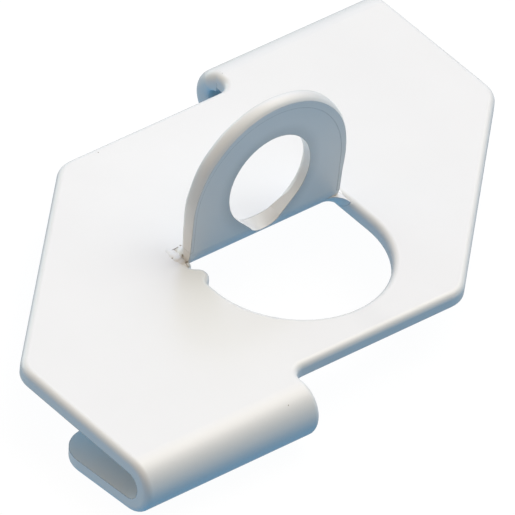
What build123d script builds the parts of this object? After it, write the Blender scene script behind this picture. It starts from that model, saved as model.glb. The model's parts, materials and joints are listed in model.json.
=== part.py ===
from build123d import *
from math import acos, atan2, cos, hypot, radians, sin, sqrt
import os

# Swivel clip for a ceiling rail, folded from one piece of coated steel sheet.
# It is laid across the rail and turned until its two hooks take the rail's edges.
# X runs along the folds, Z is up, and Z = 0 is the surface that the lips rest on.

# Sheet, with its coating. Shearing rolls the rims of one face (the plate's top, the
# hooks' outside and the tab's back) and leaves the other face's rims sharp.
sheet_thickness = 0.9
rolled_rim_radius = 0.4

# Flat plate: two straight edges, two slanted edges and two square ends
plate_length = 38.4
plate_width = 21.4
slant_length = 13.2
slant_width = 12.7
plate_corner_radius = 2.0

# Hooks that run on the rail's two edges
rail_width = 24.0
rail_side_play = 0.6
hook_length = 12.6
hook_inner_radius = 0.85
hook_notch_radius = 0.8
lip_depth = 8.0
lip_opening_angle = 5.0
lip_corner_radius = 2.1

# Eye tab, sheared on three sides and bent up out of the plate
tab_width = 11.0
tab_height = 8.5
tab_mid_offset = 0.15
tab_inner_radius = 0.55
shear_gap = 0.12

# Eye: round, and drawn out at its foot, where it runs into the tab's bend
eye_diameter = 5.9
eye_land = 0.1
eye_foot_width = 2.2
eye_foot_steps = 4

# Nib that the shear left on the window's edge, just short of its round end
nib_length = 2.1
nib_height = 0.62
nib_setback = 0.52

# Hook profile: the bend's axis, and the lip that leaves the bend
hook_outer_radius = hook_inner_radius + sheet_thickness
fold_reach = rail_width / 2 + rail_side_play + sheet_thickness
hook_axis_y = fold_reach - hook_outer_radius
lip_tilt = radians(lip_opening_angle)
lip_start_y = -hook_axis_y - hook_outer_radius * sin(lip_tilt)
lip_flat = (lip_depth - fold_reach - lip_start_y) / cos(lip_tilt)
notch_x = plate_length / 2 - hook_length
hook_mid_x = -plate_length / 2 + hook_length / 2

# Height of the plate above the lips' lowest line
lip_drop = (lip_flat - rolled_rim_radius) * sin(lip_tilt) + rolled_rim_radius * (1 - cos(lip_tilt))
plate_top = hook_outer_radius * (1 + cos(lip_tilt)) + lip_drop
plate_bottom = plate_top - sheet_thickness
hook_axis_z = plate_top - hook_outer_radius

# Tab: its bend's axis, its round top, and the window that it leaves in the plate
tab_back_y = tab_mid_offset + sheet_thickness / 2
tab_axis_y = tab_back_y + tab_inner_radius
tab_axis_z = plate_top + tab_inner_radius
tab_arc_z = plate_top + tab_height - tab_width / 2
bend_middle_radius = tab_inner_radius + sheet_thickness / 2
tab_bend_length = radians(90) * bend_middle_radius
window_arc_y = tab_axis_y - tab_bend_length - (tab_arc_z - tab_axis_z)
window_radius = tab_width / 2 + shear_gap
nib_end_y = window_arc_y + nib_setback
nib_start_y = nib_end_y + nib_length
nib_crest = (nib_height - window_radius, nib_start_y - nib_length / 2)
nib_turn_x = nib_height / 2 - window_radius
nib_turns = [(nib_turn_x, nib_end_y + nib_length / 4), (nib_turn_x, nib_start_y - nib_length / 4)]

# Eye: from its round side two straight flanks run down to the bend, which the foot enters
# as an arc. The arc is measured along the middle of the bent sheet.
eye_radius = eye_diameter / 2
eye_rise = eye_land + eye_radius
eye_z = tab_axis_z + eye_rise
foot_x = eye_foot_width / 2
flank_slope = atan2(foot_x, eye_rise) + acos(eye_radius / hypot(foot_x, eye_rise))
flank_top_x = eye_radius * sin(flank_slope)
flank_top_z = eye_z - eye_radius * cos(flank_slope)
foot_radius = foot_x / sin(flank_slope)
foot_places = [foot_x * step / eye_foot_steps for step in range(-eye_foot_steps, eye_foot_steps + 1)]
wedge_reach = 2 * (tab_inner_radius + sheet_thickness)

# Half of the plate's outline, from the near hook's fold round to the far hook's fold
half_outline = [
    (-notch_x, -hook_axis_y),
    (-notch_x, -plate_width / 2),
    (plate_length / 2 - slant_length, -plate_width / 2),
    (plate_length / 2, slant_width - plate_width / 2),
    (plate_length / 2, hook_axis_y),
]
corner_radii = [hook_notch_radius, plate_corner_radius, plate_corner_radius]

# Flat plate: the outline is the same when it is turned half a turn.
# Its top rims are rolled all round, except where a bend carries the sheet on.
with BuildPart() as plate:
    with BuildSketch(Plane.XY.offset(plate_bottom)):
        with BuildLine():
            for turn in (1, -1):
                side = [(turn * x, turn * y) for x, y in half_outline]
                FilletPolyline(*side, radius=corner_radii)
                Line(side[-1], (turn * notch_x, turn * hook_axis_y))
        make_face()
        with BuildLine():
            Polyline(
                (-window_radius, nib_start_y),
                (-window_radius, tab_axis_y),
                (window_radius, tab_axis_y),
                (window_radius, window_arc_y),
            )
            CenterArc((0, window_arc_y), window_radius, start_angle=180, arc_size=180)
            Line((-window_radius, window_arc_y), (-window_radius, nib_end_y))
            TangentArc((-window_radius, nib_end_y), nib_turns[0], tangent=(0, 1))
            ThreePointArc(nib_turns[0], nib_crest, nib_turns[1])
            TangentArc((-window_radius, nib_start_y), nib_turns[1], tangent=(0, -1))
        make_face(mode=Mode.SUBTRACT)
    extrude(amount=sheet_thickness)
    rims = plate.faces().sort_by(Axis.Z)[-1].edges()
    hook_joints = rims.group_by(Axis.Y)[0] + rims.group_by(Axis.Y)[-1]
    straight_rims = rims.filter_by(Axis.X)
    tab_joint = straight_rims.filter_by_position(Axis.Y, tab_back_y, tab_axis_y + tab_inner_radius)
    fillet(rims - hook_joints - tab_joint, radius=rolled_rim_radius)

# Hook bend, on the near left side
with BuildPart() as hook_bend:
    with BuildSketch(Plane.XZ.offset(hook_axis_y)) as hook_section:
        with Locations((hook_mid_x, plate_top - sheet_thickness / 2)):
            Rectangle(hook_length, sheet_thickness)
        fillet(hook_section.vertices().group_by(Axis.Y)[-1], radius=rolled_rim_radius)
    revolve(axis=Axis((0, -hook_axis_y, hook_axis_z), (1, 0, 0)), revolution_arc=180 - lip_opening_angle)

# Hook lip, drawn on its outer face
lip_plane = Plane(
    origin=(hook_mid_x, lip_start_y, hook_axis_z - hook_outer_radius * cos(lip_tilt)),
    x_dir=(1, 0, 0),
    z_dir=(0, sin(lip_tilt), cos(lip_tilt)),
)
with BuildPart() as hook_lip:
    with BuildSketch(lip_plane) as lip_shape:
        Rectangle(hook_length, lip_flat, align=(Align.CENTER, Align.MIN))
        fillet(lip_shape.vertices().group_by(Axis.Y)[-1], radius=lip_corner_radius)
    extrude(amount=sheet_thickness)
    rims = hook_lip.faces().filter_by(lip_plane).sort_by(Axis.Z)[0].edges()
    fillet(rims - rims.group_by(Axis.Y)[0], radius=rolled_rim_radius)

# What the eye's foot takes out of the bend: wedges from the bend's axis, deepest in the middle
with BuildPart() as eye_foot:
    for x in foot_places:
        foot_depth = sqrt(foot_radius ** 2 - x ** 2) - foot_radius * cos(flank_slope)
        foot_turn = foot_depth / bend_middle_radius
        with BuildSketch(Plane.YZ.offset(x)):
            with BuildLine():
                Polyline(
                    (tab_axis_y, tab_axis_z),
                    (tab_axis_y - wedge_reach * cos(foot_turn), tab_axis_z - wedge_reach * sin(foot_turn)),
                    (tab_axis_y - wedge_reach, tab_axis_z + eye_radius),
                    close=True,
                )
            make_face()
    loft()

# Tab bend, turned up from the window's fold line
with BuildPart() as tab_bend:
    with BuildSketch(Plane.XZ.offset(-tab_axis_y)) as tab_section:
        with Locations((0, plate_top - sheet_thickness / 2)):
            Rectangle(tab_width, sheet_thickness)
        fillet(tab_section.vertices().group_by(Axis.Y)[-1], radius=rolled_rim_radius)
    revolve(axis=Axis((0, tab_axis_y, tab_axis_z), (-1, 0, 0)), revolution_arc=90)
    add(eye_foot.part, mode=Mode.SUBTRACT)

# Upright tab with its eye. The eye's rim is rolled at the back before the foot is cut,
# so the rolling fades out along the flanks.
with BuildPart() as tab:
    with BuildSketch(Plane.XZ.offset(-tab_back_y)):
        with BuildLine():
            Polyline(
                (tab_width / 2, tab_arc_z),
                (tab_width / 2, tab_axis_z),
                (-tab_width / 2, tab_axis_z),
                (-tab_width / 2, tab_arc_z),
            )
            CenterArc((0, tab_arc_z), tab_width / 2, start_angle=0, arc_size=180)
        make_face()
        with Locations((0, eye_z)):
            Circle(eye_radius, mode=Mode.SUBTRACT)
    extrude(amount=sheet_thickness)
    rims = tab.faces().sort_by(Axis.Y)[-1].edges()
    fillet(rims - rims.filter_by(Axis.X), radius=rolled_rim_radius)
    with BuildSketch(Plane.XZ.offset(-tab_back_y)):
        with BuildLine():
            Polyline(
                (0, eye_z),
                (flank_top_x, flank_top_z),
                (foot_x, tab_axis_z),
                (-foot_x, tab_axis_z),
                (-flank_top_x, flank_top_z),
                close=True,
            )
        make_face()
    extrude(amount=sheet_thickness, mode=Mode.SUBTRACT)

# Whole clip: the second hook is the first one turned half a turn
with BuildPart() as clip:
    add(plate.part)
    for half_turn in (0, 180):
        add(hook_bend.part, rotation=(0, 0, half_turn))
        add(hook_lip.part, rotation=(0, 0, half_turn))
    add(tab_bend.part)
    add(tab.part)
clip.part.label = "clip"

os.makedirs("parts", exist_ok=True)
export_step(clip.part, "parts/clip.step")
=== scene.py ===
import json
import math

import bmesh
import bpy
from mathutils import Matrix, Vector


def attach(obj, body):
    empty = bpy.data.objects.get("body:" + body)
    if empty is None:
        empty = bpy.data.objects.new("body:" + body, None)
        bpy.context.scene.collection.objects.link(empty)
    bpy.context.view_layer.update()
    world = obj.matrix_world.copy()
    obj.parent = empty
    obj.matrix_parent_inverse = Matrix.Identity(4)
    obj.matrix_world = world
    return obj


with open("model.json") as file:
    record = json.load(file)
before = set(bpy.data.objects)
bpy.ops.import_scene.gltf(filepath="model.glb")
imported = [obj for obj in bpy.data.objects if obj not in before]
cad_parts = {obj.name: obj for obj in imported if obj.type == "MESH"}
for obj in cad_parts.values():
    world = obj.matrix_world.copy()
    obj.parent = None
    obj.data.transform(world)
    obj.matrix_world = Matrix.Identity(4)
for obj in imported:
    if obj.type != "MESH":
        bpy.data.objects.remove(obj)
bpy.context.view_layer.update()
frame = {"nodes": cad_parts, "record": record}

MM = 0.001

# Sheet, with its coating
SHEET = 0.9 * MM
RIM_ROLL = 0.4 * MM

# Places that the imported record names: the plate's lower face, and the eye
mounts = {mount["name"]: mount for mount in frame["record"]["mounts"]}
PLATE_TOP = mounts["rail_channel"]["pos_m"][2] + SHEET
EYE_CENTRE = Vector(mounts["eye"]["pos_m"])
EYE_RADIUS = mounts["eye"]["dims"]["r_mm"] * MM

# Tab, its bend and the window's straight walls, which the coating follows
TAB_HALF_WIDTH = 5.5 * MM
TAB_BACK_Y = 0.6 * MM
TAB_NEAR_Y = TAB_BACK_Y - SHEET
TAB_ARC_RISE = 3.0 * MM
SHEAR_GAP = 0.12 * MM
WINDOW_HALF_WIDTH = TAB_HALF_WIDTH + SHEAR_GAP
BEND_INNER_RADIUS = 0.55 * MM
BEND_OUTER_RADIUS = BEND_INNER_RADIUS + SHEET
BEND_AXIS_Y = TAB_BACK_Y + BEND_INNER_RADIUS

# Far hook: its bend, and its sheared end
FOLD_REACH = 13.5 * MM
HOOK_INNER_RADIUS = 0.85 * MM
HOOK_OUTER_RADIUS = HOOK_INNER_RADIUS + SHEET
HOOK_AXIS_Y = FOLD_REACH - HOOK_OUTER_RADIUS
HOOK_END_X = 6.6 * MM

# Camera: a long lens above the near left corner, rolled slightly. The azimuth is the picture's way right.
VIEW_AZIMUTH = -43.81
VIEW_ELEVATION = 39.05
VIEW_ROLL = 6.52
VIEW_DISTANCE = 911 * MM
VIEW_LENS = 1131.1
VIEW_SHIFT_RIGHT = -0.189 * MM
VIEW_SHIFT_UP = -1.769 * MM
SENSOR_WIDTH = 36.0
LENS_NEAR_LIMIT = 0.01
LENS_FAR_LIMIT = 20

# Powder coat
COAT_COLOUR = "#EFEFEE"
COAT_UNEVEN_COLOUR = "#EBEBEA"
COAT_ROUGHNESS = 0.25
MOTTLE_SIZE = 5.0 * MM
ORANGE_PEEL_SIZE = 0.5 * MM
ORANGE_PEEL_DEPTH = 0.003 * MM

# Painted shade round the eye, on the tab's near face: a darker ring that stands for the shade of a shallow
# dish
EYE_SHADE_COLOUR = "#C9CBCB"
EYE_SHADE_WIDTH = 0.9 * MM
EYE_SHADE_DARKNESS = 0.5
EYE_SHADE_Y = TAB_NEAR_Y + 0.01 * MM

# Thin coating on the sharp rims. The line goes from nothing to full between two cosines of the angle
# between the true normal and the one that is eased over the line's width.
SHARP_RIM_COLOUR = "#9A9A9A"
SHARP_RIM_DARKNESS = 0.8
SHARP_RIM_WIDTH = 0.08 * MM
SHARP_RIM_SAMPLES = 6
SHARP_RIM_START_COSINE = 0.98
SHARP_RIM_FULL_COSINE = 0.9

# Specks of dirt: place from the middle of the plate's top, and radius, in mm
SPECKS = [
    ((-5.50, 0.31, 0.15), 0.14),
    ((-5.58, -0.17, 0.0), 0.12),
    ((-4.91, 1.19, 0.0), 0.09),
    ((-5.16, 1.14, 0.0), 0.08),
    ((-6.02, 0.55, 0.0), 0.08),
    ((-8.54, -12.74, -0.30), 0.06),
    ((-3.52, 10.19, 0.0), 0.06),
    ((5.96, 0.28, 0.0), 0.08),
    ((-3.40, -0.15, 3.32), 0.08),
]
DIRT_COLOUR = "#9C9484"
DIRT_CORE = 0.3
DIRT_RAGGED = 0.06 * MM
DIRT_RAGGED_SIZE = 0.15 * MM

# Pieces of thick coating: an edge that turns by more than this stays crisp
CRISP_ANGLE = math.radians(30)

# Fillings of the window's two corners beside the tab
LEFT_FILL_RADIUS = 0.35 * MM
RIGHT_FILL_RADIUS = 1.0 * MM
FILL_OVERLAP = 0.06 * MM
FILL_LEVELS = 16
FILL_ARC_STEPS = 10

# Beads in the mouths of the shear slits. Lumps: centre from the middle of the plate's top, and half
# sizes, in mm
LEFT_LUMPS = [
    ((-5.78, 1.14, -0.22), (0.48, 0.50, 0.25)),
    ((-5.78, 0.72, -0.20), (0.48, 0.42, 0.26)),
    ((-5.76, 0.36, -0.19), (0.48, 0.38, 0.27)),
    ((-5.72, 0.02, -0.22), (0.44, 0.34, 0.27)),
    ((-5.62, -0.20, -0.30), (0.32, 0.26, 0.28)),
]
RIGHT_LUMPS = [
    ((5.78, 1.10, -0.22), (0.48, 0.50, 0.24)),
    ((5.78, 0.68, -0.21), (0.48, 0.42, 0.25)),
    ((5.76, 0.28, -0.21), (0.46, 0.38, 0.25)),
    ((5.70, -0.08, -0.26), (0.40, 0.32, 0.24)),
]
LUMP_SUBDIVISIONS = 4
BEAD_GRAIN = 0.04 * MM
BEAD_SMOOTHING = 12
BEAD_SMOOTHING_FACTOR = 0.5

# Thick coating on the tab's edge. Stations: angle from +X round the tab's arc in degrees,
# growth of the near rim and further rise behind it in mm. Past the arc they run down the straight sides.
TAB_EDGE_STATIONS = [
    (-28, 0.0, 0.0),
    (-15, 0.03, 0.06),
    (0, 0.12, 0.13),
    (30, 0.24, 0.24),
    (60, 0.24, 0.30),
    (90, 0.19, 0.30),
    (115, 0.14, 0.30),
    (140, 0.06, 0.30),
    (165, 0.0, 0.20),
    (190, 0.0, 0.10),
    (205, 0.0, 0.0),
]
TAB_EDGE_STEPS = 96
TAB_EDGE_PROFILE_STEPS = 12
TAB_EDGE_DEPTH = 0.22 * MM
TAB_EDGE_SKIN = 0.01 * MM
TAB_EDGE_TUCK = 0.02 * MM
# Shares of the sheet's thickness, from the near face: the rise's end, and the start of the back's fall
TAB_EDGE_RISE_END = 0.6
TAB_EDGE_BACK_START = 0.6
TAB_EDGE_BACK_FALL = 0.24 * MM

# Thick coating on the far hook's end: it swells to a ridge, and narrows the hook's mouth
HOOK_END_SWELL = 0.30 * MM
HOOK_END_RIDGE_RADIUS = 1.15 * MM
HOOK_END_MOUTH_RADIUS = 0.60 * MM
HOOK_END_FROM = 88
HOOK_END_TO = -110
HOOK_END_FADE = 1 / 6
HOOK_END_STEPS = 48
HOOK_END_PROFILE_STEPS = 20
# Points that close its section inside the hook: radius, and depth from the end, in mm
HOOK_END_ROOTS = [(0.70, 0.50), (0.95, 0.90), (1.70, 0.50)]

# Light: azimuth from +X towards +Y and elevation in degrees, sharpness, and linear colour (1 is white)
KEY_PANEL = (3, 60, 9, (4.36, 4.27, 3.96))
BEHIND_PANEL = (99, 6, 12, (2.0, 2.5, 2.6))
BACKDROP_PANEL = (46, 38, 10, (0.46, 0.66, 1.23))
LEFT_PANEL = (180, 30, 4, (0.82, 0.63, 0.45))
FLOOR_SIZE = 4.0
FLOOR_LIGHT = (0.089, 0.361, 0.632, 1)
FLOOR_MIRRORED = 0.34
FLOOR_SHADOW = (0.05, 0.05, 0.05, 1)
FLOOR_GLOW = 0.965
WHITE = (1, 1, 1, 1)


def linear(hex_colour, alpha=1.0):
    """An sRGB hex value as a linear colour."""
    channels = [int(hex_colour[i:i + 2], 16) / 255 for i in (1, 3, 5)]
    return (*[c / 12.92 if c <= 0.04045 else ((c + 0.055) / 1.055) ** 2.4 for c in channels], alpha)


def node(tree, kind, links=(), values=(), **settings):
    """Adds a node with its settings, linked inputs and fixed inputs, each input by its name or number.
    A Mix node takes its two colours at inputs 6 and 7, and gives the mixed one at output 2."""
    made = tree.nodes.new(kind)
    for name, setting in settings.items():
        setattr(made, name, setting)
    for socket, value in dict(values).items():
        made.inputs[socket].default_value = value
    for socket, source in dict(links).items():
        tree.links.new(source, made.inputs[socket])
    return made


def direction(azimuth, elevation):
    """The unit vector that points to an azimuth and elevation given in degrees."""
    azimuth, elevation = math.radians(azimuth), math.radians(elevation)
    level = math.cos(elevation)
    return Vector((level * math.cos(azimuth), level * math.sin(azimuth), math.sin(elevation)))


def on_plate(place):
    """A place that is given in mm from the middle of the plate's top."""
    return Vector(place) * MM + Vector((0, 0, PLATE_TOP))


def place_camera():
    """Looks at the clip as the photograph does."""
    back = direction(VIEW_AZIMUTH - 90, VIEW_ELEVATION)
    level = direction(VIEW_AZIMUTH, 0)
    right = Matrix.Rotation(math.radians(VIEW_ROLL), 3, back) @ level
    up = back.cross(right)
    camera = bpy.data.objects.new("camera", bpy.data.cameras.new("camera"))
    bpy.context.scene.collection.objects.link(camera)
    camera.data.lens = VIEW_LENS
    camera.data.sensor_width = SENSOR_WIDTH
    camera.data.clip_start = LENS_NEAR_LIMIT
    camera.data.clip_end = LENS_FAR_LIMIT
    turn = Matrix((right, up, back)).transposed().to_4x4()
    spot = on_plate((0, 0, 0)) + back * VIEW_DISTANCE + right * VIEW_SHIFT_RIGHT + up * VIEW_SHIFT_UP
    camera.matrix_world = Matrix.Translation(spot) @ turn
    bpy.context.scene.camera = camera


def near(tree, place, centre, full, gone):
    """One where the place is nearer to the centre than full, fading to zero at the distance gone."""
    apart = node(tree, "ShaderNodeVectorMath", {0: place}, {1: centre}, operation="DISTANCE")
    fading = node(
        tree, "ShaderNodeMapRange", {"Value": apart.outputs["Value"]},
        {"From Min": full, "From Max": gone, "To Min": 1, "To Max": 0},
        interpolation_type="SMOOTHSTEP",
    )
    return fading.outputs["Result"]


def towards(tree, colour, goal, mask, amount):
    """Mixes a colour towards a goal by the mask times the amount."""
    part = node(tree, "ShaderNodeMath", {0: mask}, {1: amount}, operation="MULTIPLY").outputs[0]
    mixed = node(tree, "ShaderNodeMix", {"Factor": part, 6: colour}, {7: linear(goal)}, data_type="RGBA")
    return mixed.outputs[2]


def eye_shade_mask(tree, place):
    """One round the eye, on the tab's near face only, where the eye's shade is painted."""
    flat = node(tree, "ShaderNodeVectorMath", {0: place}, {1: (1, 0, 1)}, operation="MULTIPLY").outputs[0]
    round_eye = near(tree, flat, EYE_CENTRE, EYE_RADIUS, EYE_RADIUS + EYE_SHADE_WIDTH)
    depth = node(tree, "ShaderNodeSeparateXYZ", {0: place}).outputs["Y"]
    near_face = node(tree, "ShaderNodeMath", {0: depth}, {1: EYE_SHADE_Y}, operation="LESS_THAN").outputs[0]
    return node(tree, "ShaderNodeMath", {0: round_eye, 1: near_face}, operation="MULTIPLY").outputs[0]


def sharp_rim_mask(tree):
    """One on the sheet's sharp rims, where the surface turns within the width of the rim line."""
    normal = node(tree, "ShaderNodeNewGeometry").outputs["Normal"]
    eased = node(tree, "ShaderNodeBevel", (), {"Radius": SHARP_RIM_WIDTH}, samples=SHARP_RIM_SAMPLES)
    alike = node(tree, "ShaderNodeVectorMath", {0: normal, 1: eased.outputs[0]}, operation="DOT_PRODUCT")
    mask = node(
        tree, "ShaderNodeMapRange", {"Value": alike.outputs["Value"]},
        {"From Min": SHARP_RIM_START_COSINE, "From Max": SHARP_RIM_FULL_COSINE},
    )
    return mask.outputs["Result"]


def dirt_mask(tree, place):
    """One inside the specks, whose outlines are ragged."""
    ragged = node(tree, "ShaderNodeTexNoise", {"Vector": place}, {"Scale": 1 / DIRT_RAGGED_SIZE})
    centred = node(
        tree, "ShaderNodeVectorMath", {0: ragged.outputs["Color"]}, {1: (0.5, 0.5, 0.5)},
        operation="SUBTRACT",
    )
    pushed = node(
        tree, "ShaderNodeVectorMath", {0: centred.outputs[0]}, {"Scale": 2 * DIRT_RAGGED},
        operation="SCALE",
    )
    moved = node(tree, "ShaderNodeVectorMath", {0: place, 1: pushed.outputs[0]}, operation="ADD").outputs[0]
    spots = [near(tree, moved, on_plate(at), DIRT_CORE * size * MM, size * MM) for at, size in SPECKS]
    mask = spots[0]
    for spot in spots[1:]:
        mask = node(tree, "ShaderNodeMath", {0: mask, 1: spot}, operation="MAXIMUM").outputs[0]
    return mask


def powder_coat():
    """White polyester powder coat, baked on steel: glossy and slightly uneven, with a faint orange peel.
    It lies thin on the sharp rims, which look greyer, and specks of dirt stick to it. Round the eye, shade
    is painted."""
    coat = bpy.data.materials.new("white_powder_coat")
    coat.use_nodes = True
    tree = coat.node_tree
    tree.nodes.clear()
    place = node(tree, "ShaderNodeTexCoord").outputs["Object"]
    mottle = node(tree, "ShaderNodeTexNoise", {"Vector": place}, {"Scale": 1 / MOTTLE_SIZE})
    white = node(
        tree, "ShaderNodeMix", {"Factor": mottle.outputs["Fac"]},
        {6: linear(COAT_UNEVEN_COLOUR), 7: linear(COAT_COLOUR)}, data_type="RGBA",
    )
    # Painted shade: the colour darkens in a ring round the eye
    colour = towards(tree, white.outputs[2], EYE_SHADE_COLOUR, eye_shade_mask(tree, place), EYE_SHADE_DARKNESS)
    colour = towards(tree, colour, SHARP_RIM_COLOUR, sharp_rim_mask(tree), SHARP_RIM_DARKNESS)
    colour = towards(tree, colour, DIRT_COLOUR, dirt_mask(tree, place), 1.0)
    peel = node(tree, "ShaderNodeTexNoise", {"Vector": place}, {"Scale": 1 / ORANGE_PEEL_SIZE})
    relief = node(
        tree, "ShaderNodeBump", {"Height": peel.outputs["Fac"]},
        {"Strength": 1.0, "Distance": ORANGE_PEEL_DEPTH},
    )
    shader = node(
        tree, "ShaderNodeBsdfPrincipled", {"Base Color": colour, "Normal": relief.outputs[0]},
        {"Roughness": COAT_ROUGHNESS},
    )
    node(tree, "ShaderNodeOutputMaterial", {"Surface": shader.outputs["BSDF"]})
    return coat


def coating_piece(name, shape, coat):
    """An object of the clip's coat made from a bmesh, fixed to the clip."""
    bmesh.ops.recalc_face_normals(shape, faces=shape.faces)
    mesh = bpy.data.meshes.new(name)
    shape.to_mesh(mesh)
    shape.free()
    mesh.shade_smooth()
    mesh.set_sharp_from_angle(angle=CRISP_ANGLE)
    piece = bpy.data.objects.new(name, mesh)
    bpy.context.scene.collection.objects.link(piece)
    mesh.materials.append(coat)
    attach(piece, "root")
    return piece


def swept(sections):
    """A closed skin, extruded from each closed section to the next. All have the same number of points."""
    shape = bmesh.new()
    start = [shape.verts.new(point) for point in sections[0]]
    end = shape.faces.new(start)
    for section in sections[1:]:
        end = bmesh.ops.extrude_discrete_faces(shape, faces=[end])["faces"][0]
        for corner, point in zip(end.verts, section):
            corner.co = point
    shape.faces.new(start)
    return shape


def corner_ring(side, radius, drop):
    """Outline of a corner's filling at a depth below the plate's top: a hollow arc, closed behind it."""
    bend_y = BEND_AXIS_Y - math.sqrt(max(0, BEND_OUTER_RADIUS ** 2 - (BEND_INNER_RADIUS + drop) ** 2))
    centre_x = WINDOW_HALF_WIDTH - radius
    centre_y = bend_y - radius
    ring = []
    for step in range(FILL_ARC_STEPS + 1):
        angle = math.radians(90 * (1 - step / FILL_ARC_STEPS))
        ring.append((centre_x + radius * math.cos(angle), centre_y + radius * math.sin(angle)))
    ring.append((WINDOW_HALF_WIDTH + FILL_OVERLAP, centre_y))
    ring.append((WINDOW_HALF_WIDTH + FILL_OVERLAP, bend_y + FILL_OVERLAP))
    ring.append((centre_x, bend_y + FILL_OVERLAP))
    return [(side * x, y, PLATE_TOP - drop) for x, y in ring]


def corner_filling(name, side, radius, coat):
    """Coating that rounds the window's corner between the tab's bend and the window's wall."""
    drops = [SHEET * (1 - level / FILL_LEVELS) for level in range(FILL_LEVELS + 1)]
    return coating_piece(name, swept([corner_ring(side, radius, drop) for drop in drops]), coat)


def slit_bead(name, lumps, coat):
    """A lumpy bead of coating along the mouth of a shear slit."""
    shape = bmesh.new()
    for centre, half_sizes in lumps:
        place = Matrix.Translation(on_plate(centre)) @ Matrix.Diagonal((*(Vector(half_sizes) * MM), 1))
        bmesh.ops.create_icosphere(shape, subdivisions=LUMP_SUBDIVISIONS, radius=1, matrix=place)
    bead = coating_piece(name, shape, coat)
    joined = bead.modifiers.new("joined", "REMESH")
    joined.mode = "VOXEL"
    joined.voxel_size = BEAD_GRAIN
    joined.use_smooth_shade = True
    eased = bead.modifiers.new("eased", "SMOOTH")
    eased.factor = BEAD_SMOOTHING_FACTOR
    eased.iterations = BEAD_SMOOTHING
    return bead


def between(stations, at):
    """Values at a place along a list of stations, each a place and its values, eased between them."""
    for lower, upper in zip(stations, stations[1:]):
        if at <= upper[0]:
            part = max(0, (at - lower[0]) / (upper[0] - lower[0]))
            eased = part * part * (3 - 2 * part)
            return [a + (b - a) * eased for a, b in zip(lower[1:], upper[1:])]
    return list(stations[-1][1:])


def tab_outline(degrees):
    """A point of the tab's outline and the way out of it, on the arc or on a straight side below it."""
    angle = math.radians(degrees)
    out = direction(0, min(max(degrees, 0), 180))
    foot = out * TAB_HALF_WIDTH
    foot.z = TAB_HALF_WIDTH * math.sin(angle) + PLATE_TOP + TAB_ARC_RISE
    return foot, out


def tab_edge_rise(share):
    """Share of the rise at a share of the sheet's thickness: steep at the near rim, level at its end."""
    turned = min(1, share / TAB_EDGE_RISE_END)
    return (math.sin(turned * math.pi / 2) + math.sqrt(1 - (1 - turned) ** 2)) / 2


def tab_edge_section(degrees):
    """Closed section of the tab edge's coating: its near face, its rounded top and its tucked back."""
    growth, rise = between(TAB_EDGE_STATIONS, degrees)
    foot, out = tab_outline(degrees)
    near_y = TAB_NEAR_Y - TAB_EDGE_SKIN
    points = [(-TAB_EDGE_DEPTH, near_y)]
    for step in range(TAB_EDGE_PROFILE_STEPS + 1):
        share = step / TAB_EDGE_PROFILE_STEPS
        behind = max(0, (share - TAB_EDGE_BACK_START) / (1 - TAB_EDGE_BACK_START))
        height = (growth + rise * tab_edge_rise(share)) * MM - TAB_EDGE_BACK_FALL * behind ** 3
        points.append((height, near_y + SHEET * share))
    points.append((-TAB_EDGE_DEPTH - RIM_ROLL, TAB_BACK_Y - TAB_EDGE_TUCK))
    return [foot + out * height + Vector((0, y, 0)) for height, y in points]


def tab_edge_coating(coat):
    """Coating that lies thick and rounded on the tab's sheared edge."""
    first, last = TAB_EDGE_STATIONS[0][0], TAB_EDGE_STATIONS[-1][0]
    turns = [first + (last - first) * step / TAB_EDGE_STEPS for step in range(TAB_EDGE_STEPS + 1)]
    return coating_piece("tab_edge_coating", swept([tab_edge_section(degrees) for degrees in turns]), coat)


def hook_end_section(share_round):
    """Closed section of the hook end's coating, at a share of its way round the bend."""
    outward = direction(90, HOOK_END_FROM + (HOOK_END_TO - HOOK_END_FROM) * share_round)
    fade = min(1, share_round / HOOK_END_FADE, (1 - share_round) / HOOK_END_FADE)
    points = []
    for step in range(HOOK_END_PROFILE_STEPS + 1):
        around = math.radians(180 * step / HOOK_END_PROFILE_STEPS)
        if around <= math.pi / 2:
            root = RIM_ROLL
            reach = HOOK_OUTER_RADIUS - HOOK_END_RIDGE_RADIUS
        else:
            root = 0
            reach = HOOK_END_RIDGE_RADIUS - HOOK_END_MOUTH_RADIUS
        radius = HOOK_END_RIDGE_RADIUS + reach * math.cos(around)
        points.append((radius, root - (root + HOOK_END_SWELL * fade) * math.sin(around)))
    points.extend((radius * MM, depth * MM) for radius, depth in HOOK_END_ROOTS)
    axis = Vector((HOOK_END_X, HOOK_AXIS_Y, PLATE_TOP - HOOK_OUTER_RADIUS))
    return [axis + outward * radius + Vector((depth, 0, 0)) for radius, depth in points]


def far_hook_end_coating(coat):
    """Coating that lies thick on the far hook's sheared end, from the plate round to the lip."""
    shares = [step / HOOK_END_STEPS for step in range(HOOK_END_STEPS + 1)]
    return coating_piece("far_hook_end_coating", swept([hook_end_section(share) for share in shares]), coat)


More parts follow.
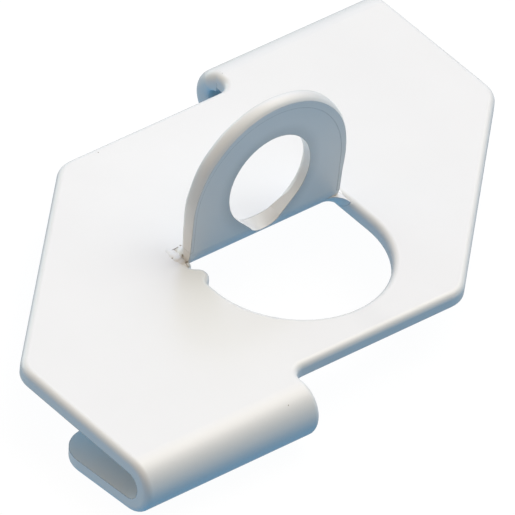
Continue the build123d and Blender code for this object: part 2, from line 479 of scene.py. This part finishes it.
def pale_floor():
    """A floor that shows white with a faint shadow, and throws a cool light up at the clip."""
    mesh = bpy.data.meshes.new("floor")
    floor = bpy.data.objects.new("floor", mesh)
    bpy.context.scene.collection.objects.link(floor)
    shape = bmesh.new()
    bmesh.ops.create_grid(shape, x_segments=1, y_segments=1, size=FLOOR_SIZE / 2)
    shape.to_mesh(mesh)
    shape.free()
    paint = bpy.data.materials.new("pale_floor")
    paint.use_nodes = True
    tree = paint.node_tree
    tree.nodes.clear()
    rays = node(tree, "ShaderNodeLightPath").outputs
    thrown = node(tree, "ShaderNodeEmission", (), {"Color": FLOOR_LIGHT, "Strength": 1.0})
    mirrored = node(tree, "ShaderNodeEmission", (), {"Color": WHITE, "Strength": FLOOR_MIRRORED})
    shadow = node(tree, "ShaderNodeBsdfDiffuse", (), {"Color": FLOOR_SHADOW})
    glow = node(tree, "ShaderNodeEmission", (), {"Color": WHITE, "Strength": FLOOR_GLOW})
    shown = node(tree, "ShaderNodeAddShader", {0: shadow.outputs[0], 1: glow.outputs[0]})
    clear = node(
        tree, "ShaderNodeMath", {0: rays["Is Camera Ray"], 1: rays["Is Transmission Ray"]},
        operation="MAXIMUM",
    )
    unseen = node(
        tree, "ShaderNodeMixShader",
        {0: rays["Is Glossy Ray"], 1: thrown.outputs[0], 2: mirrored.outputs[0]},
    )
    surface = node(
        tree, "ShaderNodeMixShader", {0: clear.outputs[0], 1: unseen.outputs[0], 2: shown.outputs[0]},
    )
    node(tree, "ShaderNodeOutputMaterial", {"Surface": surface.outputs[0]})
    mesh.materials.append(paint)


def soft_panel(tree, seen, azimuth, elevation, sharpness, light):
    """A soft-edged bright patch of the world, fading as exp(sharpness * (cosine - 1))."""
    cosine = node(
        tree, "ShaderNodeVectorMath", {0: seen}, {1: direction(azimuth, elevation)},
        operation="DOT_PRODUCT",
    )
    falling = node(
        tree, "ShaderNodeMath", {0: cosine.outputs["Value"]}, {1: sharpness, 2: -sharpness},
        operation="MULTIPLY_ADD",
    )
    strength = node(tree, "ShaderNodeMath", {0: falling.outputs[0]}, operation="EXPONENT")
    return node(tree, "ShaderNodeBackground", {"Strength": strength.outputs[0]}, {"Color": (*light, 1)})


def light_world():
    """Soft panels round the clip: the key one above its right, two behind it and a fill at its left."""
    world = bpy.data.worlds.new("studio")
    bpy.context.scene.world = world
    world.use_nodes = True
    tree = world.node_tree
    tree.nodes.clear()
    seen = node(tree, "ShaderNodeTexCoord").outputs["Generated"]
    studio = soft_panel(tree, seen, *KEY_PANEL)
    for panel in (BEHIND_PANEL, BACKDROP_PANEL, LEFT_PANEL):
        added = soft_panel(tree, seen, *panel)
        studio = node(tree, "ShaderNodeAddShader", {0: studio.outputs[0], 1: added.outputs[0]})
    white = node(tree, "ShaderNodeBackground", (), {"Color": WHITE, "Strength": 1.0})
    rays = node(tree, "ShaderNodeLightPath").outputs
    mix = node(
        tree, "ShaderNodeMixShader", {0: rays["Is Camera Ray"], 1: studio.outputs[0], 2: white.outputs[0]},
    )
    node(tree, "ShaderNodeOutputWorld", {"Surface": mix.outputs[0]})


place_camera()
clip = frame["nodes"]["clip"]
coat = powder_coat()
for slot in clip.material_slots:
    slot.material = coat
corner_filling("left_corner_filling", -1, LEFT_FILL_RADIUS, coat)
corner_filling("right_corner_filling", 1, RIGHT_FILL_RADIUS, coat)
slit_bead("left_slit_bead", LEFT_LUMPS, coat)
slit_bead("right_slit_bead", RIGHT_LUMPS, coat)
tab_edge_coating(coat)
far_hook_end_coating(coat)
pale_floor()
light_world()

bpy.context.scene.view_settings.view_transform = "Standard"
